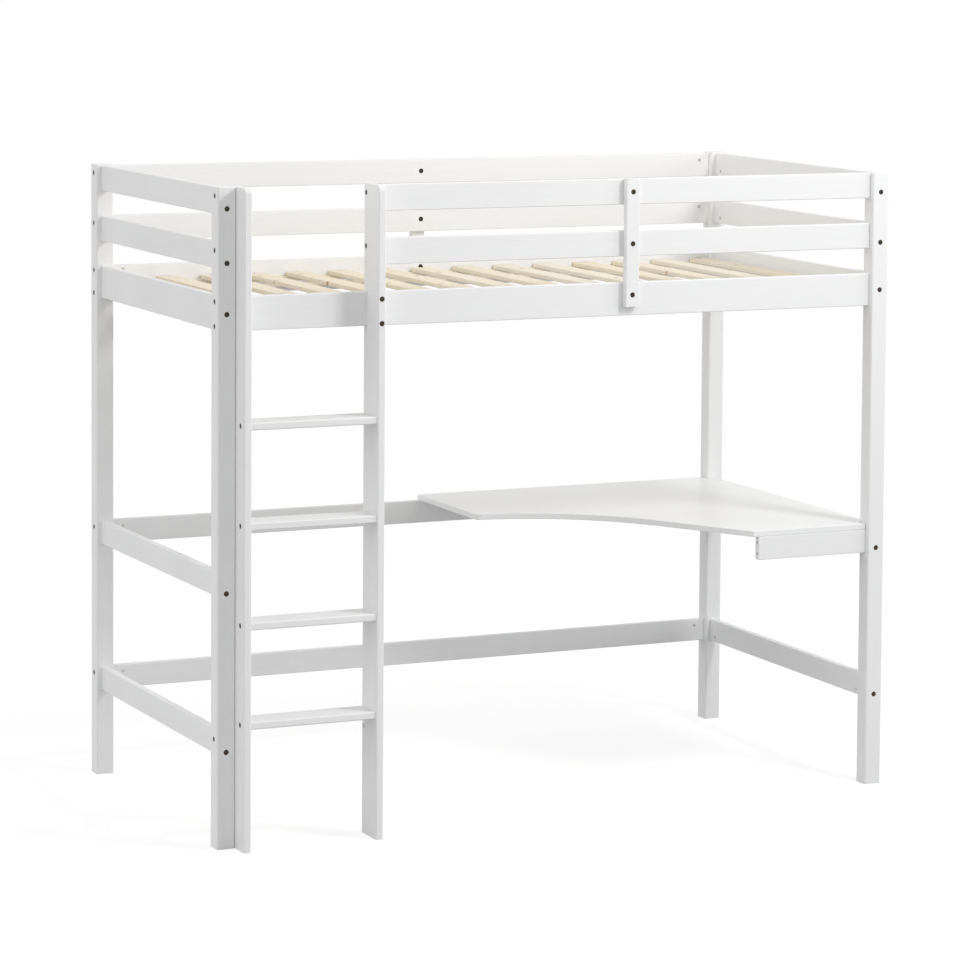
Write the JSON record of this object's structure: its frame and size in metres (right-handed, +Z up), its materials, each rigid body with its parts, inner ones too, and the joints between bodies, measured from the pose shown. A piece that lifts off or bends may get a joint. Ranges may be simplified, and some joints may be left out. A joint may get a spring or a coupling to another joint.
{
  "type": "bunk bed with desk",
  "caption": "High sleeper bed on square posts, with guard rails, a slatted base, an upright ladder near one end and a corner desk with a curved front under the other.",
  "frame": {"origin": "on the floor, under the middle of the overall box", "axes": "+X along the bed from the ladder end to the desk end, +Y from the ladder side to the back, +Z up"},
  "size_m": [1.98, 1.083, 1.72],
  "materials": {
    "white_paint": "planed softwood under white satin paint, grain faintly telegraphing",
    "raw_pine": "planed pine, unfinished, with small knots",
    "white_board": "smooth white satin board",
    "webbing": "flat white woven webbing",
    "bronzed_steel": "dark bronzed, semi-gloss",
    "zinc_steel": "dull zinc plate",
    "beech": "turned, unfinished"
  },
  "bodies": {
    "root": {"post_front_left": "white_paint", "post_front_right": "white_paint", "post_rear_left": "white_paint", "post_rear_right": "white_paint", "rail_rear_top": "white_paint", "rail_rear_mid": "white_paint", "rail_rear_deep": "white_paint", "rail_rear_desk": "white_paint", "rail_rear_low": "white_paint", "rail_left_top": "white_paint", "rail_left_mid": "white_paint", "rail_left_deep": "white_paint", "rail_left_desk": "white_paint", "rail_left_low": "white_paint", "rail_right_top": "white_paint", "rail_right_mid": "white_paint", "rail_right_deep": "white_paint", "rail_right_desk": "white_paint", "rail_right_low": "white_paint", "rail_front_deep": "white_paint", "guard_rail_top": "white_paint", "guard_rail_mid": "white_paint", "rail_desk_stub": "white_paint", "batten_front": "white_paint", "batten_rear": "white_paint", "stile_left": "white_paint", "stile_right": "white_paint", "tread_1": "white_paint", "tread_2": "white_paint", "tread_3": "white_paint", "tread_4": "white_paint", "ledger_front": "raw_pine", "ledger_rear": "raw_pine", "slat_01": "raw_pine", "slat_02": "raw_pine", "slat_03": "raw_pine", "slat_04": "raw_pine", "slat_05": "raw_pine", "slat_06": "raw_pine", "slat_07": "raw_pine", "slat_08": "raw_pine", "slat_09": "raw_pine", "slat_10": "raw_pine", "slat_11": "raw_pine", "slat_12": "raw_pine", "slat_13": "raw_pine", "slat_14": "raw_pine", "slat_15": "raw_pine", "desk_top": "white_board", "strap_front": "webbing", "strap_rear": "webbing", "frame_bolts": "bronzed_steel", "short_bolts": "bronzed_steel", "batten_bolts": "bronzed_steel", "barrel_nuts": "zinc_steel", "sleeve_nuts": "zinc_steel", "wood_screws": "zinc_steel", "dowels": "beech"}
  },
  "joints": []
}
